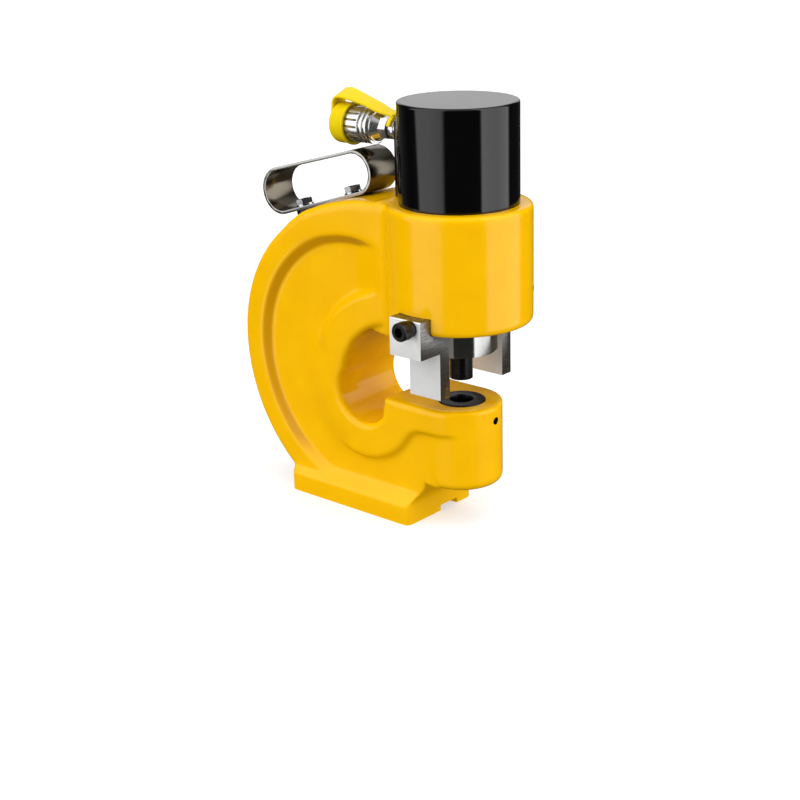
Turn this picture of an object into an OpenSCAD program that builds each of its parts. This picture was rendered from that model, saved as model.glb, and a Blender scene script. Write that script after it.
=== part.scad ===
// Hydraulic hole punch: a cast C-frame with a ram, a punch and a die.
// Millimetres. Z is up and z = 0 is the underside of the foot. The throat opens
// to -Y and the spine of the frame is at +Y. Distances are counted from the punch
// axis, and centred() then puts the middle of the whole part over the origin.

/* [Head and barrel] */
// Radius of the cast head round the ram
head_r = 62.2; // [60:0.1:68]
// Height of the underside of the head above the foot
head_z = 184.8; // [180:0.1:196]
// Height of the head
head_h = 101.2; // [98:0.1:110]
// Rounding of the head's rims
head_edge = 3.5; // [1:0.1:5]
// Outer radius of the oil barrel
barrel_r = 51.2; // [48:0.1:54]
// Radius of the oil bore
bore_r = 40; // [37.5:0.1:41]
// Height of barrel that stands above the head
barrel_h = 85.8; // [82:0.1:110]
// Length of barrel screwed into the head
barrel_grip = 50; // [40:0.5:54]
// Thickness of the closed top of the barrel
barrel_cap = 20.7; // [14:0.1:26]
// Rounding of the barrel's top rim
barrel_edge = 2.2; // [0.5:0.1:5]

/* [Frame] */
// Half of the frame's thickness over its rim
half_t = 39.6; // [38:0.1:41]
// Depth of the recess in each side
recess_d = 5.5; // [3:0.1:7]
// How far the wall of a recess slopes in
recess_slope = 8.5; // [5:0.1:12]
// Width of the raised rim along the spine
rim_w = 23; // [18:0.5:28]
// Rounding of the outer corners of the spine
spine_edge = 5; // [2:0.1:7]
// Distance from the punch axis to the back of the spine
spine_y = 226.5; // [220:0.5:240]
// Height of the rearmost line of the spine
spine_z = 139; // [132:0.5:146]
// Outer radius of the upper back
upper_r = 135.5; // [130:0.5:142]
// Outer radius of the lower back
lower_r = 151.6; // [147:0.5:158]
// Outer radius of the crown
crown_r = 187.5; // [182.5:0.5:192.5]

/* [Throat] */
// Distance from the punch axis to the back of the throat
throat_d = 109.9; // [104:0.1:116]
// Radius of the lower lobe of the throat
lobe_r = 28.4; // [25:0.1:31]
// Height of the centre of the lower lobe
lobe_z = 110.7; // [108:0.1:111]
// Radius of the upper lobe
upper_lobe_r = 62.3; // [58:0.1:66]
// Distance from the punch axis to the centre of the upper lobe
upper_lobe_y = 43.4; // [42:0.1:48]
// Height of the centre of the upper lobe
upper_lobe_z = 115.6; // [112:0.1:118]
// Width of the raised border round the throat
border_w = 29.4; // [24:0.1:32]
// Radius of the upper part of the border
border_r = 95.5; // [92:0.5:100]
// Chamfer of the throat's edges
throat_edge = 3; // [1:0.1:4]

/* [Jaw and foot] */
// Radius of the jaw round the die
jaw_r = 35.4; // [33:0.1:38]
// Height of the top of the jaw
jaw_z = 111.3; // [110:0.1:114]
// Height of the underside of the jaw
jaw_under = 41.5; // [36:0.5:50]
// Rounding of the top rim of the jaw
jaw_edge = 4; // [2:0.1:6]
// Rounding of the lower rim of the jaw
jaw_low_edge = 6; // [2:0.1:8]
// Depth of the thick upper band of the jaw
jaw_band = 21; // [17:0.5:26]
// Half of the width of the foot
foot_half = 44.4; // [42:0.1:52]
// Height of the upright side of the foot
foot_h = 17.2; // [12:0.1:22]
// Distance from the punch axis to the front of the foot
foot_front = 25.9; // [22:0.1:32]
// Distance from the punch axis to the back of the foot
foot_back = 168.5; // [162:0.5:176]
// Rounding of the foot's upright corners
foot_corner = 5; // [2:0.5:9]
// Width of the relief channel under the foot
channel_w = 23; // [12:0.5:26]
// Height of the relief channel
channel_h = 5; // [4:0.5:8]
// Offset of the relief channel from the middle
channel_x = 12; // [-12:0.5:12]

/* [Punch and die] */
// Radius of the punch
punch_r = 10; // [6:0.1:13]
// Gap between the punch and the die, at the radius
die_gap = 0.4; // [0.15:0.05:0.8]
// Outer radius of the die
die_r = 21; // [18:0.1:23]
// Height of the die
die_h = 26; // [20:0.5:32]
// How far the die stands above the jaw
die_proud = 1; // [0.5:0.1:3]
// Radius of the slug hole under the die
slug_r = 15; // [14:0.1:17]
// Length of the punch below the ram
punch_l = 26.1; // [23:0.1:30]
// Radius of the punch's threaded shank
punch_shank_r = 6; // [4:0.1:8]
// Length of the punch's threaded shank
punch_shank_l = 22; // [14:0.5:28]
// Working stroke of the ram
stroke = 25; // [20:0.5:27]
// Radius of the die's set screw
set_screw_r = 3; // [2:0.1:4]
// Length of the die's set screw
set_screw_l = 10; // [6:0.5:11]
// Turn of the die's set screw from the front
set_screw_turn = 5; // [0:1:20]

/* [Ram] */
// Radius of the ram
ram_r = 31.4; // [29:0.1:32]
// How far the ram stands below the head at rest
ram_out = 26.8; // [24:0.1:30]
// Height of the piston
piston_h = 32; // [28:0.5:36]
// Height of the oil space above the piston at rest
oil_gap = 19; // [16:0.5:24]
// Radial width of the guide ring
wear_w = 2.5; // [1.5:0.1:3.5]
// Height of the guide ring
wear_h = 8; // [5:0.5:10]
// Radial width of the piston seal
seal_w = 7; // [4:0.1:9]
// Height of the piston seal
seal_h = 9; // [6:0.5:11]
// Running clearance at the radius
run_gap = 0.05; // [0.02:0.01:0.1]
// Length of the ram's guide bush
bush_h = 22; // [18:0.5:24]
// Outer radius of the guide bush
bush_r = 37; // [35.5:0.1:38]
// Thickness of the bush's flange
bush_flange = 4; // [3:0.5:6]
// Thickness of the lip that holds the bush
lip_h = 5.2; // [4:0.1:7]
// Height of the wiper
wiper_h = 5; // [4:0.5:7]
// Radial width of the wiper
wiper_w = 3.2; // [2:0.1:3.6]
// Wire diameter of the return spring
spring_wire = 5.6; // [4:0.1:6]
// Turns of the return spring
spring_turns = 8; // [6:1:9]

/* [Strippers] */
// Width of a stripper along Y
strip_w = 33.4; // [28:0.1:36]
// Inner face of a blade, from the punch axis
blade_in = 36.1; // [34:0.1:38]
// Thickness of a blade
blade_t = 12.3; // [10:0.1:14]
// Gap from the jaw to a blade
blade_gap = 15.4; // [12:0.1:22]
// Height of the stripper's web below the head
strip_web = 17; // [14:0.1:20]
// Outer face of the stripper's block, from the punch axis
block_out = 73; // [70:0.1:78]
// Height of the block beside the head
block_rise = 15.7; // [13:0.1:20]
// Flat on the head that the block seats on
flat_x = 56; // [53:0.1:58]
// Radius of the stripper screw's thread
cap_screw_r = 5; // [4:0.1:5]
// Radius of the stripper screw's head
cap_head_r = 8; // [7:0.1:8]
// Height of the stripper screw's head
cap_head_h = 10; // [8:0.5:12]
// Length of the stripper screw's shank
cap_screw_l = 35; // [28:0.5:36]
// Thickness of the lock washer
lock_h = 4.7; // [2:0.1:6]
// Radius of the lock washer
lock_r = 7.2; // [6.5:0.1:8]
// Screw's place forward of the punch axis
cap_screw_y = -6; // [-7:0.5:0]
// Screw's height above the underside of the head
cap_screw_z = 9.3; // [7.5:0.1:10]

/* [Handle] */
// Width of the handle's strap
strap_w = 35; // [28:0.5:40]
// Thickness of the handle's strap
strap_t = 3; // [2:0.1:4]
// Radius of the handle's rear bend
bend_rear = 21.6; // [20:0.1:23]
// Radius of the handle's front bend
bend_front = 19.9; // [18:0.1:20]
// Length between the handle's bends
handle_l = 95; // [88:0.5:102]
// How far the front bend lies ahead of the seat
handle_fore = 19.5; // [17:0.5:22]
// Slope of the handle
handle_tilt = 17.4; // [15:0.1:20]
// Rear bolt's distance ahead of the centre of the rear bend
bolt_rear_in = 9.5; // [7.5:0.5:15]
// Front bolt's distance behind the seat
bolt_front = 3; // [0:0.5:8]
// Radius of the handle bolts
bolt_r = 4; // [3:0.5:5]
// Radius of the handle spacers
spacer_r = 9; // [7:0.5:10]
// Depth of the front seat cut in the crown
seat_d = 2; // [1:0.1:4]
// Depth of the rear seat below the strap
rear_seat_d = 17; // [16:0.5:20]

/* [Inlet and coupler] */
// Half of the width of the inlet block
block_half = 16; // [13:0.5:18]
// How far the inlet block stands out from the barrel
block_depth = 7.8; // [5:0.1:11]
// Height of the inlet block above the head
block_h = 65; // [63:0.5:75]
// Rounding of the inlet block's corners
block_round = 4; // [2:0.5:6]
// Height of the oil port above the head
port_z = 55.2; // [50:0.1:56]
// Radius of the oil port
port_r = 3; // [2:0.1:3.5]
// Radius of the nipple's thread
nipple_r = 5.5; // [5:0.1:6]
// Radius of the nipple's flange
flange_r = 10; // [9:0.1:11]
// Length of the nipple's flange
flange_l = 5.8; // [4:0.1:7]
// Radius of the nipple's round nut
nut_r = 9.4; // [8.5:0.1:10]
// Length of the nipple's round nut
nut_l = 5.5; // [4:0.1:7]
// Thickness of the black sealing ring
seal_ring_l = 2.5; // [1.5:0.1:3.5]
// Width across the flats of the coupler's hexagon
hex_af = 17.6; // [16:0.1:18]
// Length of the coupler's hexagon
hex_l = 8.1; // [6:0.1:10]
// Length of the cone behind the sleeve
cone_l = 6.1; // [4:0.1:7]
// Length of the dark collar behind the sleeve
collar_l = 2.6; // [2:0.1:4]
// Radius of the coupler's nose
nose_r = 11; // [10.5:0.1:11.4]
// Length of the coupler's nose inside the sleeve
nose_l = 31; // [28:0.5:34]
// Radius of the coupler's sleeve
sleeve_r = 15.8; // [15.3:0.1:16.5]
// Length of the coupler's sleeve
sleeve_l = 39; // [36:0.5:41]
// Flutes round the sleeve
flutes = 16; // [12:1:20]
// Travel of the coupler's valve
valve_travel = 4; // [2:0.5:5]
// Length of the dust cap
cap_l = 17.6; // [15:0.1:21]
// Wall of the dust cap
cap_wall = 1.9; // [1.5:0.1:3]
// Clearance between the dust cap and the sleeve
cap_gap = 0.35; // [0.3:0.05:0.6]
// Thickness of the dust cap's tether
tether_t = 2.5; // [2:0.1:3.5]
// Width of the tether at the cap
tether_w = 21; // [16:0.5:24]
// Width of the tether at its clip
tether_w_clip = 13; // [10:0.5:15]
// Radius of the tether's arch
tether_arch = 100; // [90:1:120]
// Height of the tether's arch over the coupler's axis
tether_rise = 31.8; // [29:0.1:34]

/* [Hidden] */

$fn = 96;
// Overlap that carries a cut past the face that it opens
eps = 0.5;
// Gap between parts that are screwed or laid together
fit = 0.05;
// Small step between the halves of a recess, so that their walls cross and aren't tangent
seam = 0.3;

head_top = head_z + head_h;
barrel_z = head_top - barrel_grip;
barrel_top = head_top + barrel_h;
bore_top = barrel_top - barrel_cap;
piston_top = bore_top - oil_gap;
piston_z = piston_top - piston_h;
ram_z = head_z - ram_out;
punch_z = ram_z - punch_l;
die_top = jaw_z + die_proud;
die_z = die_top - die_h;
bush_z = head_z + lip_h;
bush_top = bush_z + bush_h;
spring_z = bush_top + bush_flange;
web_t = half_t - recess_d;
block_face = barrel_r + block_depth;
bolt_rear = handle_l - handle_fore - bolt_rear_in;
mid_y = (spine_y - head_r) / 2;

// The frame's outline: the two back arcs meet at the spine, the crown meets the upper back
upper_c = [spine_y - upper_r, spine_z];
lower_c = [spine_y - lower_r, spine_z];
// The upper back turns into the crown along a 3-4-5 slope, so that both meet on one plane
turn_dir = [0.6, 0.8];
crown_c = upper_c + (upper_r - crown_r) * turn_dir;
crown_z = crown_c[1] + crown_r;
rim_deep = 45;
rim_deep_low = 37;
foot_sink = 4;

lobe_y = throat_d - lobe_r;
border_low_r = lobe_r + border_w;
border_back = lobe_y + border_low_r;
border_y = border_back - border_r;
flare = recess_slope / 2;
fade_y = head_r - 4;
fade_l = 27;

axis_z = head_top + port_z;

// A point given along the handle's strap and square to it, as [y, z]
seat_y = crown_c[0] + crown_r * sin(handle_tilt);
seat_z = crown_c[1] + crown_r * cos(handle_tilt);
strap_lift = 0.3;
crease = [web_t, foot_h + 11.3];

// Moves its children so that the middle of the part is at y = 0
module centred() {
    translate([0, -mid_y, 0]) children();
}

// Draws a 2-D [y, z] shape as a plate of the given half-thickness
module plate(half) {
    rotate([90, 0, 90]) linear_extrude(height = 2 * half, center = true) children();
}

// Turns an [r, x] profile about an axis along X through a [y, z] point
module turn_x(c, from, angle) {
    translate([0, c[0], c[1]]) rotate([90, 0, 90]) rotate([0, 0, from])
        rotate_extrude(angle = angle) children();
}

// Cylinder along Y that starts at y0
module rod_y(r, y0, y1, z = 0, x = 0) {
    translate([x, y0, z]) rotate([-90, 0, 0]) cylinder(r = r, h = y1 - y0);
}

// Turns an [r, h] profile about the coupler's axis, h running along +Y
module turn_y() {
    translate([0, 0, axis_z]) rotate([-90, 0, 0]) rotate_extrude() children();
}

// Plain [r, h] step for a turned profile
module step(r0, r1, h0, h1) {
    translate([r0, h0]) square([r1 - r0, h1 - h0]);
}

function arc(c, r, a0, a1, n) = [for (i = [0:n]) c + r * [cos(a0 + (a1 - a0) * i / n), sin(a0 + (a1 - a0) * i / n)]];

// Section through the rim, as [r, x]: a band whose outer corners are rounded in four flats
module rim_section(r, depth) {
    e = spine_edge;
    corner = [for (k = [0:4]) [r - e + e * sin(22.5 * k), half_t - e + e * cos(22.5 * k)]];
    low = [for (k = [0:4]) [r - e + e * cos(22.5 * k), -half_t + e - e * sin(22.5 * k)]];
    polygon(concat([[r - depth, half_t]], corner, low, [[r - depth, -half_t]]));
}

// The solid C before its sides are recessed
module spine() {
    join_in = upper_c + 20 * turn_dir;
    join_out = upper_c + 1.3 * upper_r * turn_dir;
    intersection() {
        turn_x(upper_c, 0, 90) rim_section(upper_r, rim_deep);
        plate(2 * half_t) polygon([join_in, join_out, [spine_y + 20, join_out[1]], [spine_y + 20, spine_z - 20],
                                   [join_in[0], spine_z - 20]]);
    }
    intersection() {
        turn_x(crown_c, 0, 90) rim_section(crown_r, rim_deep);
        plate(2 * half_t) polygon([join_in, join_out, [join_out[0], head_top + 40], [crown_c[0] - 20, head_top + 40],
                                   [crown_c[0] - 20, join_in[1]]]);
    }
    // The heel runs down into the foot
    difference() {
        turn_x(lower_c, -80, 80) rim_section(lower_r, rim_deep_low);
        translate([-2 * half_t, 0, -spine_z]) cube([4 * half_t, 2 * spine_y, spine_z + foot_sink]);
    }
    translate([0, crown_c[0], crown_c[1]]) rotate([90, 0, 0]) linear_extrude(height = crown_c[0] - head_r / 2)
        rotate(90) rim_section(crown_r, rim_deep);
    plate(half_t) difference() {
        polygon(concat(
            [[foot_front, foot_sink], [lower_c[0] + rim_deep_low + 10, foot_sink]],
            arc(lower_c, lower_r - rim_deep_low + 3, -70, -5, 6),
            arc(upper_c, upper_r - rim_deep + 10, 5, 50, 4),
            arc(crown_c, crown_r - rim_deep + 5, 62, 90, 2),
            [[head_r / 2, crown_z - rim_deep + 5], [head_r / 2, head_z + eps], [upper_lobe_y, head_z + eps],
             [upper_lobe_y, jaw_under + jaw_low_edge], [foot_front, jaw_under + jaw_low_edge]]));
        throat_2d();
    }
}

// The throat's opening seen from the side, as [y, z]
module throat_2d() {
    translate([lobe_y, lobe_z]) circle(lobe_r);
    intersection() {
        translate([upper_lobe_y, upper_lobe_z]) circle(upper_lobe_r);
        translate([upper_lobe_y - eps, jaw_z]) square([upper_lobe_r + 2 * eps, head_z]);
    }
}

// Chamfer along the throat's edges on one side
module throat_chamfer() {
    lip = [[0, half_t - throat_edge], [0, half_t + eps]];
    turn_x([lobe_y, lobe_z], 0, 360)
        polygon([lip[0], [lobe_r, half_t - throat_edge], [lobe_r + throat_edge + eps, half_t + eps], lip[1]]);
    turn_x([upper_lobe_y, upper_lobe_z], 0, 90)
        polygon([lip[0], [upper_lobe_r, half_t - throat_edge],
                 [upper_lobe_r + throat_edge + eps, half_t + eps], lip[1]]);
}

// Half of a recess or border: a disc sector whose wall slopes from its floor to its face
module sloped(c, r_floor, r_face, from) {
    grow = r_face - r_floor;
    turn_x(c, from, 180)
        polygon([[0, web_t], [r_floor, web_t], [r_floor + 2 * grow, web_t + 2 * recess_d], [0, web_t + 2 * recess_d]]);
}

// The recess in the side at +X
module recess() {
    low_face = lower_r - rim_w + seam;
    up_face = upper_r - rim_w;
    reach = web_t + 2 * recess_d;
    difference() {
        union() {
            sloped(upper_c, up_face - recess_slope, up_face, 0);
            sloped(lower_c, low_face - recess_slope, low_face, 180);
        }
        sloped([border_y, lobe_z], border_r + flare, border_r, 0);
        sloped([lobe_y, lobe_z], border_low_r + flare, border_low_r, 180);
        translate([0, upper_lobe_y, 0]) rotate([90, 0, 0]) linear_extrude(height = 2 * spine_y)
            polygon([[web_t - eps, jaw_z - jaw_band - flare - flare * eps / recess_d],
                     [reach, jaw_z - jaw_band + flare], [reach, lobe_z + eps], [web_t - eps, lobe_z + eps]]);
        translate([0, 0, lobe_z]) linear_extrude(height = head_top)
            polygon([[web_t - eps, fade_y + fade_l], [web_t, fade_y + fade_l], [half_t, fade_y],
                     [reach, fade_y - fade_l], [web_t - eps, fade_y - fade_l]]);
        translate([0, -spine_y, lobe_z]) cube([reach + eps, spine_y + fade_y - fade_l + eps, head_top]);
    }
}

// Section of the arm behind the jaw, as [x, z]
module arm_section() {
    for (s = [0, 1]) mirror([s, 0]) {
        translate([half_t - jaw_edge, jaw_z - jaw_edge]) circle(jaw_edge);
        polygon([[0, jaw_under], [web_t, jaw_under], [web_t, jaw_z - jaw_band - flare], [half_t, jaw_z - jaw_band],
                 [half_t, jaw_z - jaw_edge], [half_t - jaw_edge, jaw_z - jaw_edge],
                 [half_t - jaw_edge, jaw_z], [0, jaw_z]]);
    }
}

// The jaw that holds the die, with the arm that carries it
module jaw() {
    band_y = half_t - jaw_r - 0.5;
    rotate_extrude() {
        step(0, jaw_r, jaw_under + jaw_low_edge, jaw_z - jaw_edge);
        step(0, jaw_r - jaw_low_edge, jaw_under, jaw_under + jaw_low_edge + eps);
        step(0, jaw_r - jaw_edge, jaw_z - jaw_edge - eps, jaw_z);
        intersection() {
            union() {
                translate([jaw_r - jaw_low_edge, jaw_under + jaw_low_edge]) circle(jaw_low_edge);
                translate([jaw_r - jaw_edge, jaw_z - jaw_edge]) circle(jaw_edge);
            }
            step(0, jaw_r, jaw_under, jaw_z);
        }
    }
    translate([0, band_y, 0]) rotate([0, 0, 180]) rotate_extrude(angle = 180) intersection() {
        arm_section();
        step(0, half_t, jaw_z - jaw_band - flare, jaw_z);
    }
    difference() {
        translate([0, lobe_y, 0]) rotate([90, 0, 0]) linear_extrude(height = lobe_y - band_y) arm_section();
        plate(half_t + eps) translate([lobe_y, lobe_z]) circle(lobe_r);
    }
}

// The foot: a rounded plan, upright sides and a slope up to the web
module foot() {
    intersection() {
        translate([0, foot_back, 0]) rotate([90, 0, 0]) linear_extrude(height = foot_back - foot_front)
            polygon([[-foot_half, 0], [foot_half, 0], [foot_half, foot_h], crease, [-crease[0], crease[1]],
                     [-foot_half, foot_h]]);
        linear_extrude(height = 2 * foot_h) union() {
            translate([-foot_half + foot_corner, foot_front])
                square([2 * (foot_half - foot_corner), foot_back - foot_front]);
            translate([-foot_half, foot_front + foot_corner])
                square([2 * foot_half, foot_back - foot_front - 2 * foot_corner]);
            for (x = [-1, 1], y = [foot_front + foot_corner, foot_back - foot_corner])
                translate([x * (foot_half - foot_corner), y]) circle(foot_corner);
        }
    }
}

module head() {
    rotate_extrude() {
        step(0, head_r, head_z + head_edge, head_top - head_edge);
        step(0, head_r - head_edge, head_z, head_top);
        for (z = [head_z + head_edge, head_top - head_edge]) translate([head_r - head_edge, z]) circle(head_edge);
    }
}

// Puts its children in the handle's own axes: x across, y along the strap, z off it
module on_handle() {
    translate([0, seat_y, seat_z]) rotate([-handle_tilt, 0, 0]) translate([0, 0, strap_lift]) children();
}

// The notch and the tapped hole for the stripper at +X
module stripper_seat() {
    translate([flat_x, -strip_w / 2 - 4 * fit, head_z - eps])
        cube([head_r, strip_w + 8 * fit, block_rise + 4 * fit + eps]);
    translate([block_out + lock_h - cap_screw_l - eps, cap_screw_y, head_z + cap_screw_z])
        rotate([0, 90, 0]) cylinder(r = cap_screw_r + fit, h = head_r);
}

module frame() {
    color("gold") centred() difference() {
        union() {
            difference() {
                spine();
                recess();
                mirror([1, 0, 0]) recess();
            }
            head();
            jaw();
            foot();
        }
        throat_chamfer();
        mirror([1, 0, 0]) throat_chamfer();
        // Bores for the barrel, the spring, the bush and the ram, from the top down
        rotate_extrude() {
            step(0, barrel_r + fit, barrel_z, head_top + eps);
            step(0, bore_r + 10 * fit, bush_top, barrel_z + eps);
            step(0, bush_r + fit, bush_z, bush_top + eps);
            step(0, ram_r + 1.6, head_z - eps, bush_z + eps);
        }
        // Seat of the die, slug hole and set screw
        translate([0, 0, die_z]) cylinder(r = die_r + fit, h = die_h + eps);
        cylinder(r = slug_r, h = die_z + eps);
        translate([0, 0, jaw_z - 13]) rotate([0, 0, set_screw_turn]) rod_y(set_screw_r + fit, -jaw_r - 2, 0);
        for (s = [0, 1]) mirror([s, 0, 0]) stripper_seat();
        on_handle() for (b = [[bolt_front, seat_d], [bolt_rear, rear_seat_d]]) translate([0, b[0], -b[1]]) {
            cylinder(r = spacer_r + 1, h = rear_seat_d);
            translate([0, 0, -20]) cylinder(r = bolt_r + fit, h = 20 + eps);
        }
        translate([channel_x - channel_w / 2, foot_front - eps, -eps])
            cube([channel_w, foot_back - foot_front + 2 * eps, channel_h + eps]);
        // Keeps a high crown clear of the inlet block, which stands on the head's top
        translate([-block_half - 1, 0, head_top]) cube([2 * block_half + 2, block_face + 1, block_h]);
    }
}

module barrel() {
    color("#15171a") centred() difference() {
        rotate_extrude() {
            step(0, barrel_r, barrel_z, barrel_top - barrel_edge);
            step(0, barrel_r - barrel_edge, barrel_z, barrel_top);
            translate([barrel_r - barrel_edge, barrel_top - barrel_edge]) circle(barrel_edge);
        }
        translate([0, 0, barrel_z - eps]) cylinder(r = bore_r, h = bore_top - barrel_z + eps);
        rod_y(port_r, 0, barrel_r + eps, axis_z);
    }
}

module inlet_block() {
    flat = block_half - block_round;
    color("#1b1d20") centred() difference() {
        translate([0, 0, head_top]) linear_extrude(height = block_h) {
            translate([-block_half, 0]) square([2 * block_half, block_face - block_round]);
            translate([-flat, 0]) square([2 * flat, block_face]);
            for (s = [-1, 1]) translate([s * flat, block_face - block_round]) circle(block_round);
        }
        translate([0, 0, head_top - eps]) cylinder(r = barrel_r + fit, h = block_h + 2 * eps);
        translate([-block_half - eps, -eps, head_top - eps])
            cube([2 * block_half + 2 * eps, barrel_r / 2, block_h + 2 * eps]);
        rod_y(nipple_r + fit, barrel_r + 2, block_face + eps, axis_z);
        rod_y(port_r, barrel_r - 2, barrel_r + 3, axis_z);
    }
}

module ram() {
    color("#c9ccd0") centred() difference() {
        rotate_extrude() difference() {
            union() {
                step(0, ram_r, ram_z + 1, piston_z + eps);
                step(0, ram_r - 1, ram_z, ram_z + 1 + eps);
                step(0, bore_r - run_gap, piston_z, piston_top);
            }
            step(bore_r - wear_w, bore_r, piston_z + 4, piston_z + 4 + wear_h);
            step(bore_r - seal_w, bore_r, piston_top - 5 - seal_h, piston_top - 5);
        }
        translate([0, 0, ram_z - eps]) cylinder(r = punch_shank_r + fit, h = punch_shank_l + 2 * eps);
    }
}

module piston_seal() {
    lip = 2;
    color("#2f6f4f") centred() rotate_extrude() difference() {
        step(bore_r - seal_w + fit, bore_r - run_gap, piston_top - 5 - seal_h + fit, piston_top - 5 - fit);
        translate([bore_r - seal_w / 2, piston_top - 5]) circle(lip);
    }
}

module wear_ring() {
    color("#3a5f8a") centred() rotate_extrude()
        step(bore_r - wear_w + fit, bore_r - run_gap, piston_z + 4 + fit, piston_z + 4 + wear_h - fit);
}

// A coil of wire from z0 to z1, one unbroken tube of six sides
module coil(r, wire, turns, z0, z1) {
    rings = turns * 16;
    rise = (z1 - z0 - wire) / rings;
    points = [for (i = [0:rings], k = [0:5])
        let (a = 360 * i / 16, q = 60 * k, d = r + wire / 2 * cos(q))
        [d * cos(a), d * sin(a), z0 + wire / 2 + rise * i + wire / 2 * sin(q)]];
    walls = [for (i = [0:rings - 1], k = [0:5])
        let (a = 6 * i + k, b = 6 * i + (k + 1) % 6) each [[a, b, b + 6], [a, b + 6, a + 6]]];
    ends = [for (k = [1:4]) each [[0, k + 1, k], [6 * rings, 6 * rings + k, 6 * rings + k + 1]]];
    polyhedron(points = points, faces = concat(walls, ends), convexity = 10);
}

module return_spring() {
    mean_r = (ram_r + bore_r) / 2;
    color("#7d8288") centred() coil(mean_r, spring_wire, spring_turns, spring_z + fit, piston_z - fit);
}

module rod_bush() {
    color("#b5893c") centred() rotate_extrude() difference() {
        union() {
            step(ram_r + run_gap, bush_r, bush_z, bush_top + eps);
            step(ram_r + run_gap, bore_r, bush_top, spring_z);
        }
        step(0, ram_r + wiper_w, bush_z - eps, bush_z + wiper_h);
    }
}

module rod_wiper() {
    lip = 1.4;
    color("#26282b") centred() rotate_extrude() difference() {
        step(ram_r + run_gap, ram_r + wiper_w - fit, bush_z, bush_z + wiper_h - fit);
        translate([ram_r + wiper_w / 2, bush_z]) circle(lip / 2);
    }
}

module punch() {
    color("#1d1e20") centred() rotate_extrude() {
        step(0, punch_r, punch_z, ram_z - fit);
        step(0, punch_shank_r, ram_z - fit - eps, ram_z + punch_shank_l);
    }
}

module die() {
    land = 8;
    hole = punch_r + die_gap;
    color("#2a2b2e") centred() rotate_extrude() difference() {
        union() {
            step(0, die_r, die_z + 1, die_top - 1);
            polygon([[0, die_z], [die_r - 1, die_z], [die_r, die_z + 1], [0, die_z + 1]]);
            polygon([[0, die_top - 1], [die_r, die_top - 1], [die_r - 1, die_top], [0, die_top]]);
        }
        step(0, hole, die_z - eps, die_top + eps);
        step(0, hole + 1.6, die_z - eps, die_top - land);
    }
}

module die_screw() {
    tip = die_r + 2 * fit;
    color("#33353a") centred() rotate([0, 0, set_screw_turn]) difference() {
        union() {
            rod_y(set_screw_r, -tip - set_screw_l, -tip - 1.5, jaw_z - 13);
            translate([0, -tip, jaw_z - 13]) rotate([90, 0, 0])
                cylinder(r1 = set_screw_r / 2, r2 = set_screw_r, h = 1.5 + fit);
        }
        translate([0, -tip - set_screw_l - eps, jaw_z - 13]) rotate([-90, 0, 0])
            cylinder(r = set_screw_r * 0.58, h = 4 + eps, $fn = 6);
    }
}

// One stripper: a block beside the head, a web under it and a blade beside the punch
module stripper() {
    low = jaw_z + blade_gap;
    top = head_z + block_rise;
    difference() {
        translate([0, strip_w / 2, 0]) rotate([90, 0, 0]) linear_extrude(height = strip_w)
            polygon([[blade_in, low], [blade_in + blade_t, low], [blade_in + blade_t, head_z - strip_web],
                     [block_out, head_z - strip_web], [block_out, top - 1], [block_out - 1, top],
                     [flat_x + fit, top], [flat_x + fit, head_z - fit], [blade_in, head_z - fit]]);
        translate([flat_x - eps, cap_screw_y, head_z + cap_screw_z]) rotate([0, 90, 0])
            cylinder(r = cap_screw_r + 0.5, h = block_out - flat_x + 2 * eps);
    }
}

module left_stripper() {
    color("#d8dadd") centred() mirror([1, 0, 0]) stripper();
}

module right_stripper() {
    color("#d8dadd") centred() stripper();
}

// A socket head cap screw along -X, its head's seat at x = 0
module cap_screw() {
    rotate([0, 90, 0]) difference() {
        union() {
            cylinder(r = cap_head_r, h = cap_head_h - 0.8);
            cylinder(r = cap_head_r - 0.8, h = cap_head_h);
            translate([0, 0, cap_head_h - 0.8]) cylinder(r1 = cap_head_r, r2 = cap_head_r - 0.8, h = 0.8);
            translate([0, 0, -cap_screw_l]) cylinder(r = cap_screw_r, h = cap_screw_l + eps);
        }
        translate([0, 0, cap_head_h / 2]) cylinder(r = cap_head_r * 0.58, h = cap_head_h, $fn = 6);
    }
}

module stripper_screws() {
    color("#1c1d20") centred() for (s = [0, 1]) mirror([s, 0, 0])
        translate([block_out + lock_h + fit, cap_screw_y, head_z + cap_screw_z]) cap_screw();
}

module stripper_washers() {
    color("#2a2c30") centred() for (s = [0, 1]) mirror([s, 0, 0])
        translate([block_out, cap_screw_y, head_z + cap_screw_z]) rotate([0, 90, 0]) difference() {
            cylinder(r = lock_r, h = lock_h);
            translate([0, 0, -eps]) cylinder(r = cap_screw_r + 0.3, h = lock_h + 2 * eps);
            // Split of the spring washer, down to its inner edge
            translate([0, -0.6, -eps]) cube([2 * lock_r, 1.2, lock_h + 2 * eps]);
        }
}

// A stadium block with ends of two radii, its straight sides a hair inside the tangents
module stadium(half, r0, r1, length) {
    turn = asin((r1 - r0) / length);
    a = r0 - 0.02;
    b = r1 - 0.02;
    plate(half) circle(r0);
    plate(half) translate([length, 0]) circle(r1);
    plate(half) polygon([[-a * sin(turn), a * cos(turn)], [length - b * sin(turn), b * cos(turn)],
                         [length - b * sin(turn), -b * cos(turn)], [-a * sin(turn), -a * cos(turn)]]);
}

module handle() {
    turn = asin((bend_rear - bend_front) / handle_l);
    color("#c5c8cc") centred() on_handle() difference() {
        translate([0, -handle_fore, bend_front]) rotate([turn, 0, 0]) difference() {
            stadium(strap_w / 2, bend_front, bend_rear, handle_l);
            stadium(strap_w, bend_front - strap_t, bend_rear - strap_t, handle_l);
        }
        for (b = [bolt_front, bolt_rear]) translate([0, b, -strap_t]) cylinder(r = bolt_r + 0.4, h = 3 * strap_t);
    }
}

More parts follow.
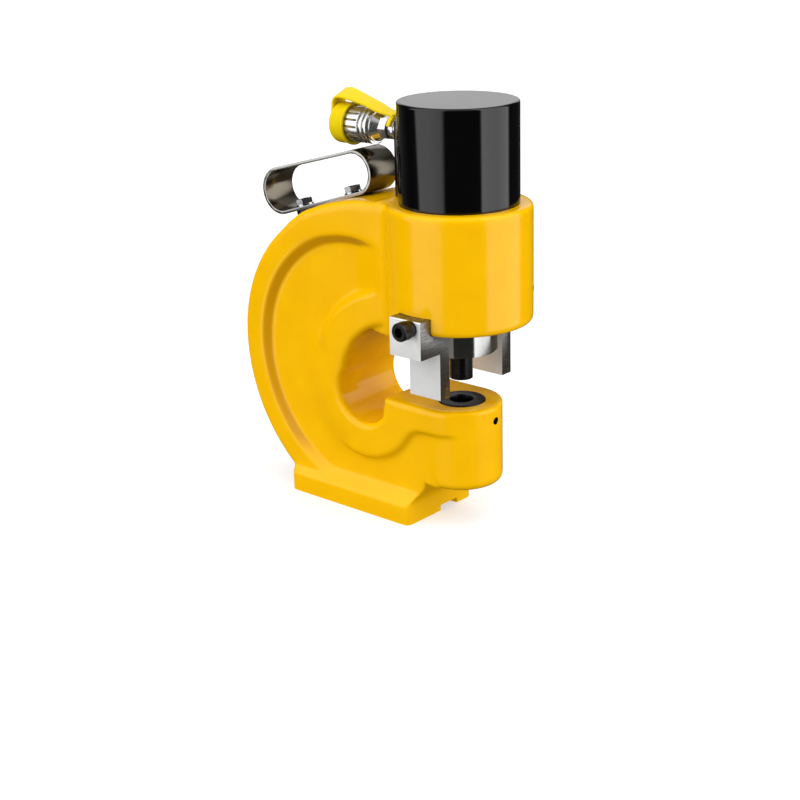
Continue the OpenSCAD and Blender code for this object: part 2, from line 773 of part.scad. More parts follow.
module handle_bolts() {
    head = 5.3;
    color("#c9ccd0") centred() on_handle() for (b = [[bolt_front, seat_d], [bolt_rear, rear_seat_d]])
        translate([0, b[0], strap_t + 1.6 + 2 * fit]) {
            cylinder(r = 1.87 * bolt_r, h = head, $fn = 6);
            translate([0, 0, -strap_t - 1.6 - b[1] - 14]) cylinder(r = bolt_r, h = strap_t + 1.6 + b[1] + 14 + eps);
        }
}

module handle_washers() {
    color("#b9bcc0") centred() on_handle() for (b = [bolt_front, bolt_rear]) translate([0, b, strap_t + fit])
        difference() {
            cylinder(r = 2 * bolt_r, h = 1.6);
            translate([0, 0, -eps]) cylinder(r = bolt_r + 0.3, h = 1.6 + 2 * eps);
        }
}

module handle_spacers() {
    color("#2b2d30") centred() on_handle() for (b = [[bolt_front, seat_d], [bolt_rear, rear_seat_d]])
        translate([0, b[0], -b[1]]) difference() {
            cylinder(r = spacer_r, h = b[1] - fit);
            translate([0, 0, -eps]) cylinder(r = bolt_r + 0.3, h = b[1] + 2 * eps);
        }
}

// Stations along the coupler, from the inlet block outwards
flange_end = block_face + flange_l;
nipple_end = flange_end + nut_l;
washer_end = nipple_end + seal_ring_l;
hex_end = washer_end + hex_l;
cone_end = hex_end + cone_l;
collar_end = cone_end + collar_l;
sleeve_end = collar_end + sleeve_l;
nose_end = collar_end + nose_l;
clip_y = collar_end + 16;
valve_seat = collar_end + 4;
valve_back = nose_end - 10;
cap_floor = 2.4;
cap_end = sleeve_end + cap_floor + cap_gap;
cap_mouth = cap_end - cap_l;

module port_nipple() {
    turned = 0.8;
    color("#e3e4e8") centred() turn_y() difference() {
        union() {
            step(0, nipple_r, barrel_r + 2 + fit, block_face + eps);
            step(0, flange_r, block_face + fit, flange_end - turned);
            polygon([[0, flange_end - turned], [flange_r, flange_end - turned], [nut_r - 2, flange_end],
                     [0, flange_end]]);
            step(0, nut_r, flange_end, nipple_end);
            step(0, nipple_r, nipple_end - eps, hex_end);
        }
        step(0, port_r, barrel_r, hex_end + eps);
    }
}

module port_washer() {
    color("#151515") centred() turn_y() step(nipple_r + fit, nut_r + 0.2, nipple_end + fit, washer_end - fit);
}

module coupler_body() {
    collar_r = nose_r + 2.6;
    well_r = port_r + 2.5;
    color("#d5d7db") centred() difference() {
        union() {
            translate([0, washer_end, axis_z]) rotate([-90, 0, 0])
                cylinder(r = hex_af / sqrt(3), h = hex_l, $fn = 6);
            turn_y() {
                polygon([[0, hex_end - eps], [hex_af / 2, hex_end - eps], [hex_af / 2, hex_end],
                         [collar_r - 0.6, cone_end], [0, cone_end]]);
                step(0, collar_r, cone_end - fit, collar_end);
                step(0, nose_r, collar_end - eps, nose_end);
            }
        }
        turn_y() {
            step(0, nipple_r + fit, washer_end - eps, hex_end + 2 * fit);
            step(0, port_r, hex_end, valve_seat + eps);
            step(0, well_r, valve_seat, nose_end - 1.6);
            step(0, port_r + 0.8, nose_end - 1.6 - eps, nose_end + eps);
            step(nose_r - 1, nose_r + eps, clip_y, clip_y + 1.2);
        }
    }
}

module coupler_sleeve() {
    ring = 3.9;
    groove = 1.2;
    bore = nose_r + 2.4;
    color("#cfd2d6") centred() difference() {
        turn_y() difference() {
            step(nose_r + 2 * run_gap, sleeve_r, collar_end + 0.2, sleeve_end);
            for (k = [1, 2]) let (y = collar_end + k * ring + (k - 1) * groove)
                step(sleeve_r - groove, sleeve_r + eps, y, y + groove);
            step(0, bore, clip_y, sleeve_end + eps);
        }
        for (i = [0:flutes - 1]) translate([0, 0, axis_z]) rotate([0, 360 * i / flutes, 0])
            rod_y(1.2, collar_end + 2 * ring + 2 * groove + 1.2, sleeve_end + eps, 0, sleeve_r + 0.7);
    }
}

module sleeve_clip() {
    color("#8b8f94") centred() turn_y() step(nose_r - 0.9, nose_r + 1.8, clip_y + 0.1, clip_y + 1.1);
}

module coupler_valve() {
    color("#b9bcc0") centred() turn_y() difference() {
        union() {
            step(0, port_r + 2.5 - run_gap, valve_back, nose_end - 3.1);
            step(0, port_r + 0.7, nose_end - 3.1 - eps, nose_end + 0.9);
        }
        step(0, port_r - 0.5, valve_back - eps, valve_back + 4);
    }
}

module valve_seal() {
    color("#1a1a1a") centred() turn_y() step(port_r + 0.75, port_r + 2.3, nose_end - 3.05, nose_end - 1.65);
}

module valve_spring() {
    color("#8f9499") centred() translate([0, 0, axis_z]) rotate([-90, 0, 0])
        coil(port_r + 1.2, 1.2, 7, valve_seat + fit, valve_back - fit);
}

module dust_cap() {
    out = sleeve_r + cap_gap + cap_wall;
    soft = 3;
    color("#f2e312") centred() turn_y() difference() {
        union() {
            step(0, out, cap_mouth, cap_end - soft);
            step(0, out - soft, cap_mouth, cap_end);
            translate([out - soft, cap_end - soft]) circle(soft);
            step(0, out + 0.8, cap_mouth, cap_mouth + 2.5);
        }
        step(0, sleeve_r + cap_gap, cap_mouth - eps, cap_end - cap_floor);
    }
}

// The tether: a strip that arches from the cap's end to an open clip on the nut
module cap_tether() {
    half = tether_t / 2;
    bend_r = 5;
    peak_z = axis_z + tether_rise - half;
    peak_y = cap_end + tether_t / 2 + 2 * fit - bend_r;
    clip_in = nut_r + 0.3;
    clip_out = clip_in + 2.6;
    clip_w = 4;
    clip_y0 = nipple_end - clip_w - 0.6;
    arch_c = [peak_y, peak_z - tether_arch];
    under = arch_c[1] + sqrt(pow(tether_arch - half, 2) - pow(peak_y - clip_y0 - clip_w, 2));
    color("#efdf20") centred() difference() {
        union() {
            intersection() {
                plate(tether_w) {
                    // Arch over the coupler
                    intersection() {
                        difference() {
                            translate(arch_c) circle(tether_arch + half);
                            translate(arch_c) circle(tether_arch - half);
                        }
                        translate([clip_y0, axis_z]) square([peak_y - clip_y0 + fit, tether_arch]);
                    }
                    // Tight bend down to the end of the cap
                    intersection() {
                        difference() {
                            translate([peak_y, peak_z - bend_r]) circle(bend_r + half);
                            translate([peak_y, peak_z - bend_r]) circle(bend_r - half);
                        }
                        translate([peak_y, peak_z - bend_r]) square(3 * bend_r);
                    }
                    translate([peak_y + bend_r - half, axis_z - 7])
                        square([tether_t, peak_z - bend_r - axis_z + 7 + fit]);
                    // Strip end that stands on the clip
                    translate([clip_y0, axis_z + clip_in + 1]) square([clip_w, under - axis_z - clip_in]);
                }
                linear_extrude(height = 2 * axis_z) polygon([
                    [-tether_w_clip / 2, clip_y0 - eps], [tether_w_clip / 2, clip_y0 - eps],
                    [tether_w / 2, peak_y - 3 * bend_r], [tether_w / 2, cap_end + 2 * tether_t],
                    [-tether_w / 2, cap_end + 2 * tether_t], [-tether_w / 2, peak_y - 3 * bend_r]]);
            }
            // Open clip over the top of the nut
            difference() {
                rod_y(clip_out, clip_y0, clip_y0 + clip_w, axis_z);
                translate([-2 * clip_out, clip_y0 - eps, axis_z - 2 * clip_out + 3])
                    cube([4 * clip_out, clip_w + 2 * eps, 2 * clip_out]);
            }
        }
        // Room for the nut under the clip and the foot of the arch
        rod_y(clip_in, clip_y0 - eps, clip_y0 + 3 * clip_w, axis_z);
    }
}

frame();
barrel();
inlet_block();
ram();
piston_seal();
wear_ring();
return_spring();
rod_bush();
rod_wiper();
punch();
die();
die_screw();
left_stripper();
right_stripper();
stripper_screws();
stripper_washers();
handle();
handle_bolts();
handle_washers();
handle_spacers();
port_nipple();
port_washer();
coupler_body();
coupler_sleeve();
sleeve_clip();
coupler_valve();
valve_spring();
valve_seal();
dust_cap();
cap_tether();
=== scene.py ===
import math
import bpy
import bmesh
from mathutils import Matrix, Vector


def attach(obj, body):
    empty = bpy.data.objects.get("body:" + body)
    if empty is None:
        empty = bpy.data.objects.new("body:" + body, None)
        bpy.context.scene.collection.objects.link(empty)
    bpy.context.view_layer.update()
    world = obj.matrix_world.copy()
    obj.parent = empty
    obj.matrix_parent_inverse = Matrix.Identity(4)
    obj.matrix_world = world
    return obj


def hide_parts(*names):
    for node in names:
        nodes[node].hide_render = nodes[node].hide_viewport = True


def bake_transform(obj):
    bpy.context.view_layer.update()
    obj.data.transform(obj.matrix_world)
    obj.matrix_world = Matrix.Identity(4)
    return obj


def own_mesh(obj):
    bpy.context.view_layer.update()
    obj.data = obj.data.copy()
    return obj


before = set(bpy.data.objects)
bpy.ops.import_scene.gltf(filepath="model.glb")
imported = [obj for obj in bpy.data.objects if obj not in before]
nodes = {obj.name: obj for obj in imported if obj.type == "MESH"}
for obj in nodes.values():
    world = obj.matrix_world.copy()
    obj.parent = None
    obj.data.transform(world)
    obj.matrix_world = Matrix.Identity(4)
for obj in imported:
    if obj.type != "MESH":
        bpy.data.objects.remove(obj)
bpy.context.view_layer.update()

# sizes are in millimetres; shapes called "from the punch" stand round the punch axis, which is here in the part
mm = 0.001
punchAt = Vector((0, -82.15, 0)) * mm
couplerZ = 341.2  # height of the coupler's axis
upward = Vector((0, 0, 1))
weldGap = 1e-6  # vertices closer than this, in metres, are one


# the photo's camera: its target is from the punch, its focal length and picture centre are in pixels
cameraSettings = {
    "azimuth": -49.04, "elevation": 16.48, "distance": 1406.8, "roll": -1.27, "target": (0, 60, 176.55),
    "focal": 1601.9, "centre": (407.43, 315.26), "image": 800, "sensor": 36, "clip": (0.05, 100),
}


def placeCamera(s):
    az, el, roll = (math.radians(s[k]) for k in ("azimuth", "elevation", "roll"))
    back = Vector((math.sin(az) * math.cos(el), -math.cos(az) * math.cos(el), math.sin(el)))
    side = (-back).cross(upward).normalized()
    top = side.cross(-back)
    right = side * math.cos(roll) + top * math.sin(roll)
    up = top * math.cos(roll) - side * math.sin(roll)
    data = bpy.data.cameras.new("camera")
    data.sensor_width = s["sensor"]
    data.lens = s["focal"] * s["sensor"] / s["image"]
    data.shift_x = (s["image"] / 2 - s["centre"][0]) / s["image"]
    data.shift_y = (s["centre"][1] - s["image"] / 2) / s["image"]
    data.clip_start, data.clip_end = s["clip"]
    camera = bpy.data.objects.new("camera", data)
    bpy.context.collection.objects.link(camera)
    place = Vector(s["target"]) * mm + punchAt + back * s["distance"] * mm
    turned = Matrix((right, up, back)).transposed().to_4x4()
    camera.matrix_world = Matrix.Translation(place) @ turned
    bpy.context.scene.camera = camera


placeCamera(cameraSettings)
print("camera placed")


def nodeTree(name):
    material = bpy.data.materials.new(name)
    material.use_nodes = True
    tree = material.node_tree
    shader = next(n for n in tree.nodes if n.type == "BSDF_PRINCIPLED")
    coords = tree.nodes.new("ShaderNodeTexCoord")
    return material, tree, shader, coords.outputs["Object"]


def stretched(tree, source, scale):
    mapping = tree.nodes.new("ShaderNodeMapping")
    mapping.inputs["Scale"].default_value = scale
    tree.links.new(source, mapping.inputs["Vector"])
    return mapping.outputs["Vector"]


def cloud(tree, source, scale, detail=4.0, rough=0.55):
    tex = tree.nodes.new("ShaderNodeTexNoise")
    tex.inputs["Scale"].default_value = scale
    tex.inputs["Detail"].default_value = detail
    tex.inputs["Roughness"].default_value = rough
    tree.links.new(source, tex.inputs["Vector"])
    return tex.outputs["Fac"]


def spread(tree, source, low, high, fromLow=0.3, fromHigh=0.7):
    node = tree.nodes.new("ShaderNodeMapRange")
    node.inputs["From Min"].default_value = fromLow
    node.inputs["From Max"].default_value = fromHigh
    node.inputs["To Min"].default_value = low
    node.inputs["To Max"].default_value = high
    tree.links.new(source, node.inputs["Value"])
    return node.outputs["Result"]


def mixed(tree, factor, first, second):
    # first and second are colours, or the sockets that give them
    node = tree.nodes.new("ShaderNodeMix")
    node.data_type = "RGBA"
    tree.links.new(factor, node.inputs["Factor"])
    for socket, value in ((node.inputs["A"], first), (node.inputs["B"], second)):
        if isinstance(value, tuple):
            socket.default_value = (*value, 1)
        else:
            tree.links.new(value, socket)
    return node.outputs["Result"]


def colour(tree, shader, tone, first, second):
    tree.links.new(mixed(tree, tone, first, second), shader.inputs["Base Color"])


def sheen(tree, shader, tone, rough, share):
    tree.links.new(spread(tree, tone, rough * share[0], rough * share[1]), shader.inputs["Roughness"])


def emboss(tree, shader, height, strength, distance, after=None):
    node = tree.nodes.new("ShaderNodeBump")
    node.inputs["Strength"].default_value = strength
    node.inputs["Distance"].default_value = distance
    tree.links.new(height, node.inputs["Height"])
    if after:
        tree.links.new(after, node.inputs["Normal"])
    tree.links.new(node.outputs["Normal"], shader.inputs["Normal"])
    return node.outputs["Normal"]


def setSockets(shader, **values):
    for name, value in values.items():
        shader.inputs[name.replace("_", " ")].default_value = value


# each kind of surface: its noises as (scale, detail, roughness), the share by which its roughness wanders,
# and the depth of its relief in metres
paintSkin = {"tone": (38, 5), "sheen": (90, 6), "share": (0.85, 1.2),
             "peel": (420, 3), "peelDepth": 0.0002, "cast": (75, 4), "castDepth": 0.0009}
workedSkin = {"tone": (30, 5), "marks": (1.0, 5, 0.6), "share": (0.75, 1.3), "depth": 0.0001}
milledSkin = {"marks": (1.0, 6, 0.7), "streaks": (0.48, 0.85), "share": (1.25, 0.8), "metallic": 0.95,
              "relief": 0.25, "depth": 0.0002}
softSkin = {"tone": (60, 4), "sheen": (150, 5), "share": (0.85, 1.15), "grainDetail": 3, "depth": 0.0002,
            "inside": 0.004, "gloss": 0.18}


def enamel(name, deep, bright, rough, gloss, peel, cast=0.0, s=paintSkin):
    # glossy paint
    material, tree, shader, where = nodeTree(name)
    colour(tree, shader, spread(tree, cloud(tree, where, *s["tone"]), 0, 1), deep, bright)
    sheen(tree, shader, cloud(tree, where, *s["sheen"]), rough, s["share"])
    setSockets(shader, Metallic=0.0, Specular_IOR_Level=gloss)
    skin = emboss(tree, shader, cloud(tree, where, *s["peel"]), peel, s["peelDepth"])
    if cast:
        emboss(tree, shader, cloud(tree, where, *s["cast"]), cast, s["castDepth"], skin)
    return material


def recessShadePaint(name, recessShade, **paint):
    # the casting's paint with painted shade: a deeper colour along the recess's step, where shade falls
    material = enamel(name, **paint)
    tree = material.node_tree
    shader = next(n for n in tree.nodes if n.type == "BSDF_PRINCIPLED")
    plain = shader.inputs["Base Color"].links[0].from_socket
    paintedShade = tree.nodes.new("ShaderNodeAttribute")
    paintedShade.attribute_name = "paintedShade"
    colour(tree, shader, paintedShade.outputs["Fac"], plain, recessShade)
    return material


def worked(name, dark, light, rough, lines, relief, metallic=1.0, s=workedSkin):
    # metal with the marks of its tool
    material, tree, shader, where = nodeTree(name)
    colour(tree, shader, spread(tree, cloud(tree, where, *s["tone"]), 0, 1), dark, light)
    marks = cloud(tree, stretched(tree, where, lines), *s["marks"])
    sheen(tree, shader, marks, rough, s["share"])
    setSockets(shader, Metallic=metallic)
    emboss(tree, shader, marks, relief, s["depth"])
    return material


def milled(name, dark, light, rough, lines, s=milledSkin):
    # face left by a cutter: lighter streaks, which are tool marks, on a dark base, which is painted dark
    # reflection
    material, tree, shader, where = nodeTree(name)
    marks = cloud(tree, stretched(tree, where, lines), *s["marks"])
    colour(tree, shader, spread(tree, marks, 0, 1, *s["streaks"]), dark, light)
    sheen(tree, shader, marks, rough, s["share"])
    setSockets(shader, Metallic=s["metallic"])
    emboss(tree, shader, marks, s["relief"], s["depth"])
    return material


def soft(name, deep, bright, rough, subsurface=0.0, grain=600, relief=0.15, s=softSkin):
    # rubber and plastic
    material, tree, shader, where = nodeTree(name)
    colour(tree, shader, spread(tree, cloud(tree, where, *s["tone"]), 0, 1), deep, bright)
    sheen(tree, shader, cloud(tree, where, *s["sheen"]), rough, s["share"])
    setSockets(shader, Metallic=0.0, Subsurface_Weight=subsurface, Subsurface_Scale=s["inside"],
               Specular_IOR_Level=s["gloss"])
    emboss(tree, shader, cloud(tree, where, grain, s["grainDetail"]), relief, s["depth"])
    return material


# lines: how fine the tool's marks are along x, y and z
recipes = {
    # the casting's yellow, darkened with painted shade along the recess's step
    "castPaint": (recessShadePaint, dict(deep=(0.93, 0.480, 0.0), bright=(0.97, 0.520, 0.0), recessShade=(0.68, 0.315, 0.0),
                                    rough=0.13, gloss=0.26, peel=0.04, cast=0.04)),
    "blackPaint": (enamel, dict(deep=(0.0012, 0.0012, 0.0014), bright=(0.0022, 0.0022, 0.0025), rough=0.08,
                                gloss=0.5, peel=0.02)),
    "ramChrome": (worked, dict(dark=(0.40, 0.405, 0.40), light=(0.48, 0.485, 0.48), rough=0.11,
                               lines=(500, 500, 2600), relief=0.03)),
    "blackSteel": (worked, dict(dark=(0.018, 0.018, 0.020), light=(0.040, 0.040, 0.044), rough=0.24,
                                lines=(900, 900, 900), relief=0.10)),
    "dieSteel": (worked, dict(dark=(0.030, 0.030, 0.034), light=(0.065, 0.065, 0.070), rough=0.34,
                              lines=(700, 700, 2200), relief=0.12)),
    "brightSteel": (worked, dict(dark=(0.80, 0.80, 0.79), light=(0.88, 0.88, 0.87), rough=0.46,
                                 lines=(1500, 1500, 60), relief=0.12, metallic=0.12)),
    # the strippers' faces not looking along x: painted dark reflection, with tool streaks
    "milledSteelDarkReflection": (milled, dict(dark=(0.14, 0.138, 0.134), light=(0.54, 0.53, 0.51), rough=0.29,
                                 lines=(110, 110, 1300))),
    # stainless: dark and amber-tinted, a painted reflection of the dark studio and of the yellow casting
    "stainless": (worked, dict(dark=(0.12, 0.105, 0.080), light=(0.18, 0.160, 0.125), rough=0.18,
                               lines=(60, 900, 900), relief=0.04)),
    # the strap's edges: a lighter copy of the stainless, a painted highlight
    "strapEdgeHighlight": (worked, dict(dark=(0.38, 0.37, 0.35), light=(0.48, 0.47, 0.45), rough=0.16,
                                  lines=(900, 900, 900), relief=0.02)),
    "zinc": (worked, dict(dark=(0.60, 0.61, 0.64), light=(0.78, 0.79, 0.82), rough=0.20,
                          lines=(700, 700, 700), relief=0.08)),
    "couplerChrome": (worked, dict(dark=(0.70, 0.70, 0.69), light=(0.80, 0.80, 0.79), rough=0.15,
                                   lines=(900, 300, 900), relief=0.012, metallic=0.92)),
    "springSteel": (worked, dict(dark=(0.16, 0.16, 0.17), light=(0.28, 0.28, 0.29), rough=0.35,
                                 lines=(600, 600, 600), relief=0.10)),
    "bronze": (worked, dict(dark=(0.42, 0.25, 0.08), light=(0.58, 0.37, 0.14), rough=0.32,
                            lines=(500, 500, 2500), relief=0.10)),
    "sealRubber": (soft, dict(deep=(0.010, 0.010, 0.011), bright=(0.022, 0.022, 0.023), rough=0.48)),
    "guidePlastic": (soft, dict(deep=(0.04, 0.10, 0.22), bright=(0.07, 0.15, 0.30), rough=0.42)),
    "capVinyl": (soft, dict(deep=(0.76, 0.55, 0.0), bright=(0.84, 0.63, 0.0), rough=0.42, subsurface=0.06,
                            grain=450, relief=0.10)),
}
finishes = {name: kind(name, **looks) for name, (kind, looks) in recipes.items()}

# what each CAD node is finished with
nodeFinishes = {
    "castPaint": ("frame",),
    "blackPaint": ("barrel", "inlet_block"),
    "ramChrome": ("ram",),
    "blackSteel": ("punch", "die_screw", "stripper_screws", "stripper_washers", "handle_spacers"),
    "dieSteel": ("die",),
    "brightSteel": ("left_stripper", "right_stripper"),
    "stainless": ("handle",),
    "zinc": ("handle_bolts", "handle_washers", "coupler_valve"),
    "couplerChrome": ("port_nipple", "coupler_body", "coupler_sleeve"),
    "springSteel": ("return_spring", "sleeve_clip", "valve_spring"),
    "bronze": ("rod_bush",),
    "sealRubber": ("piston_seal", "rod_wiper", "port_washer", "valve_seal"),
    "guidePlastic": ("wear_ring",),
    "capVinyl": ("dust_cap", "cap_tether"),
}
for finish, nodeNames in nodeFinishes.items():
    for nodeName in nodeNames:
        mesh = nodes[nodeName].data
        mesh.materials.clear()
        mesh.materials.append(finishes[finish])
print("materials made:", len(finishes))


def copyOf(nodeName):
    work = bmesh.new()
    work.from_mesh(nodes[nodeName].data)
    bmesh.ops.remove_doubles(work, verts=work.verts, dist=weldGap)
    return work


def setDown(work, name, finish, body=None, replaced=(), sharp=35, fromPunch=False):
    # makes the worked shape a piece; edges up to the sharp angle are shaded smooth
    if fromPunch:
        bmesh.ops.translate(work, vec=punchAt, verts=work.verts)
    bmesh.ops.remove_doubles(work, verts=work.verts, dist=weldGap)
    work.normal_update()
    for edge in work.edges:
        edge.smooth = len(edge.link_faces) == 2 and edge.calc_face_angle(0) < math.radians(sharp)
    for face in work.faces:
        face.smooth = True
        face.material_index = 0
    made = bpy.data.meshes.new(name)
    work.to_mesh(made)
    work.free()
    made.materials.append(finishes[finish])
    piece = bpy.data.objects.new(name, made)
    bpy.context.collection.objects.link(piece)
    if body:
        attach(piece, body)
    if replaced:
        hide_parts(*replaced)
    return piece


def takeUp(piece):
    # the piece's mesh to work on; the piece itself goes
    work = bmesh.new()
    work.from_mesh(piece.data)
    bpy.data.objects.remove(piece)
    return work


def addShape(work, shape):
    made = bpy.data.meshes.new("shape")
    shape.to_mesh(made)
    shape.free()
    work.from_mesh(made)
    bpy.data.meshes.remove(made)


def paintFaces(piece, finish, chosen):
    # a second finish on the faces that the test picks
    piece.data.materials.append(finishes[finish])
    for face in piece.data.polygons:
        if chosen(face):
            face.material_index = 1


def roundEdges(work, edges, width, segments):
    bmesh.ops.bevel(work, geom=edges, offset=width * mm, offset_type="OFFSET", segments=segments, profile=0.5,
                    affect="EDGES", clamp_overlap=True, material=-1)


def soften(nodeName, width, segments=2, sharp=30, flat=0.6):
    # merged copy of a CAD node with its sharp edges rounded
    work = copyOf(nodeName)
    bmesh.ops.dissolve_limit(work, angle_limit=math.radians(flat), verts=work.verts, edges=work.edges)
    edges = [e for e in work.edges if len(e.link_faces) == 2 and e.calc_face_angle(0) > math.radians(sharp)]
    roundEdges(work, edges, width, segments)
    return work


def turnedShape(work, points, centre=(0, 0, 0), axis=upward, steps=96):
    # spins an outline of (radius, height) about an axis; the outline's ends lie on it
    others = set(work.verts)
    verts = [work.verts.new((r * mm, 0, h * mm)) for r, h in points]
    edges = [work.edges.new(pair) for pair in zip(verts, verts[1:])]
    bmesh.ops.spin(work, geom=verts + edges, cent=(0, 0, 0), axis=upward, angle=2 * math.pi, steps=steps,
                   use_merge=True)
    bmesh.ops.remove_doubles(work, verts=[v for v in work.verts if v not in others], dist=weldGap)
    mine = [v for v in work.verts if v not in others]
    turned = upward.rotation_difference(Vector(axis)).to_matrix().to_4x4()
    bmesh.ops.transform(work, matrix=Matrix.Translation(Vector(centre) * mm) @ turned, verts=mine)
    bmesh.ops.recalc_face_normals(work, faces=list({f for v in mine for f in v.link_faces}))
    return mine


def stepped(bores, top):
    # outline for turnedShape: bores that follow each other upwards, as (radius, height where it starts)
    ends = [start for _, start in bores[1:]] + [top]
    walls = [(radius, z) for (radius, start), end in zip(bores, ends) for z in (start, end)]
    return [(0, bores[0][1]), *walls, (0, top)]


def block(work, low, high):
    made = bmesh.ops.create_cube(work, size=1.0)["verts"]
    low, high = Vector(low) * mm, Vector(high) * mm
    bmesh.ops.scale(work, vec=high - low, verts=made)
    bmesh.ops.translate(work, vec=(low + high) / 2, verts=made)
    return made


def loftRings(work, levels):
    # closed body through outlines that have the same number of points, in metres
    others = set(work.faces)
    ring = work.faces.new([work.verts.new(place) for place in levels[0]])
    for level, places in enumerate(levels[1:]):
        last = ring
        grown = bmesh.ops.extrude_face_region(work, geom=[last])["geom"]
        ring = next(g for g in grown if isinstance(g, bmesh.types.BMFace))
        if level:  # of the rings' own faces, only the first and the last stay
            bmesh.ops.delete(work, geom=[last], context="FACES_ONLY")
        for loop, place in zip(ring.loops, places):
            loop.vert.co = place
    bmesh.ops.recalc_face_normals(work, faces=[f for f in work.faces if f not in others])


def carve(piece, cutter, operation="DIFFERENCE"):
    # boolean with a second bmesh, applied at once
    tool = bpy.data.meshes.new("tool")
    cutter.to_mesh(tool)
    cutter.free()
    toolObject = bpy.data.objects.new("tool", tool)
    bpy.context.collection.objects.link(toolObject)
    modifier = piece.modifiers.new("cut", "BOOLEAN")
    modifier.operation = operation
    modifier.solver = "MANIFOLD"
    modifier.object = toolObject
    bake(piece)
    bpy.data.objects.remove(toolObject)
    bpy.data.meshes.remove(tool)


def bake(piece):
    graph = bpy.context.evaluated_depsgraph_get()
    old = piece.data
    piece.data = bpy.data.meshes.new_from_object(piece.evaluated_get(graph))
    piece.data.name = piece.name
    piece.modifiers.clear()
    bpy.data.meshes.remove(old)


def between(low, high, value):
    # 0 below the first limit, 1 above the second, with a smooth step
    t = min(max((value - low) / (high - low), 0), 1)
    return t * t * (3 - 2 * t)


# the handle sits on the crown, which is an arc with this centre (y, z) from the punch and this radius;
# each bolt as its place along the strap and how deep its spacer goes
handleSeat = {"centre": (59.8, 97.4), "radius": 187.5, "tilt": 17.4, "gap": 0.3, "bolts": ((3, 2), (66, 17))}
handleTilt = math.radians(handleSeat["tilt"])
handleAlong = Vector((0, math.cos(handleTilt), -math.sin(handleTilt)))
handleUp = Vector((0, math.sin(handleTilt), math.cos(handleTilt)))
crownPoint = Vector((0, handleSeat["centre"][0] + handleSeat["radius"] * math.sin(handleTilt),
                     handleSeat["centre"][1] + handleSeat["radius"] * math.cos(handleTilt)))


def onHandle(along, up):
    return crownPoint + handleAlong * along + handleUp * (up + handleSeat["gap"])


# the casting, from the punch; its bores as (radius, height where each starts), and plugs that fill them at first
casting = {
    "voxel": 1.75, "rounds": 3, "softness": 0.5,
    "headR": 62.2, "headLow": 186, "headChamfer": (3.4, 3.5), "headHigh": 206,
    "headBores": ((33.0, 180), (37.05, 190), (40.5, 212), (51.25, 236)), "boreTop": 292, "boreSteps": 128,
    "dieBores": ((15, 30), (21.05, 86.3)), "dieTop": 114,
    "barrelPlug": (52.25, 200, 286), "diePlug": (22.05, 41.5, 111.3),  # radius, low and high
    "screwR": 3.05, "screwSpare": 0.1, "screwTurn": 5, "screwZ": 98.3, "screwReach": (18, 42), "screwSteps": 32,
    "notchX": (56, 70), "notchHalf": 16.9, "notchZ": (178, 200.7), "seatR": 10, "seatHigh": 18, "seatSteps": 48,
    "foot": ((-44.4, 25.9), (44.4, 168.5)), "footInset": 0.1, "footHalf": 8, "footCorner": 5, "cornerSteps": 6,
    "underside": ((-60, 0, -20), (60, 190, 0)), "channel": ((0.5, 20, -10), (23.5, 180, 5)),
}

# the raised border round the throat dies out behind it: fade in and out by the angle about the throat's centre
bossBorder = {
    "centre": (81.5, 110.7), "lowR": 57.8, "highCentre": 43.8, "highR": 95.5,
    "face": 39.6, "depth": 5.5, "margin": 1, "inner": -20, "outer": 19, "fadeIn": (-78, -56), "fadeOut": (28, 50),
}


def fadeBorder(work, s):
    for v in work.verts:
        x, y, z = (c / mm for c in v.co)
        if abs(x) < s["face"] - s["depth"] - s["margin"]:
            continue
        dy, dz = y - s["centre"][0], z - s["centre"][1]
        angle = math.degrees(math.atan2(dz, dy))
        share = between(*s["fadeIn"], angle) * (1 - between(*s["fadeOut"], angle))
        if not share:
            continue
        out = math.hypot(dy, dz) - s["lowR"] if dz < 0 else math.hypot(y - s["highCentre"], dz) - s["highR"]
        if s["inner"] < out < s["outer"]:
            aim = s["face"] - s["depth"] * between(s["inner"], s["outer"], out)
            v.co.x = math.copysign(abs(x) + (aim - abs(x)) * share, x) * mm


# the border runs into the jaw's band in one curve: the same points (y, z) at the face and at the web
cornerFill = {
    "faceX": 39.6, "webX": 33.5,
    "face": ((46, 94), (8, 94), (8, 90.3), (16, 89.8), (22.8, 88.3), (27.8, 85.6), (31.6, 81.6), (35.6, 76),
             (40, 70.4), (46, 64.6)),
    "web": ((46, 94), (8, 94), (8, 86.1), (14, 85.7), (20, 84.2), (24.6, 81.4), (28.2, 77.9), (32, 72.8),
            (36.6, 67.4), (46, 59.8)),
}


def fillCorner(work, s):
    outlines = ((s["faceX"], s["face"]), (s["webX"], s["web"]), (-s["webX"], s["web"]), (-s["faceX"], s["face"]))
    loftRings(work, [[Vector((x, y, z)) * mm for y, z in outline] for x, outline in outlines])


# fillet between the head and the web: plan (x, y), and each level's height with how far x may go there
headFillet = {
    "plan": ((29, 74), (33.2, 70), (34.8, 63), (36.6, 56.7), (40.2, 49.2), (45.1, 42.8), (48, 39), (30, 36)),
    "levels": ((168, 38), (190, 60), (282.5, 60)),
}


def filletHead(work, s):
    for side in (-1, 1):
        loftRings(work, [[Vector((side * min(x, reach), y, z)) * mm for x, y in s["plan"]]
                         for z, reach in s["levels"]])


# the jaw: its band fades out round the front, where its lower edge hangs a little; its top corner at the throat
# moves back; under it the casting swings forward in a cove
jaw = {
    "band": {"radius": 35.4, "low": 84, "turn": (50, 74)},
    "front": {"back": 24, "high": 112, "low": 20, "drop": 2.4, "under": (46, 68)},
    "corner": {"y": 54.5, "z": 107, "fade": (4, 17), "shift": 3.4},
    "cove": {"reach": 11, "rise": (17.5, 39), "stop": (44, 60), "front": (-12, 23), "rear": (30, 62)},
}


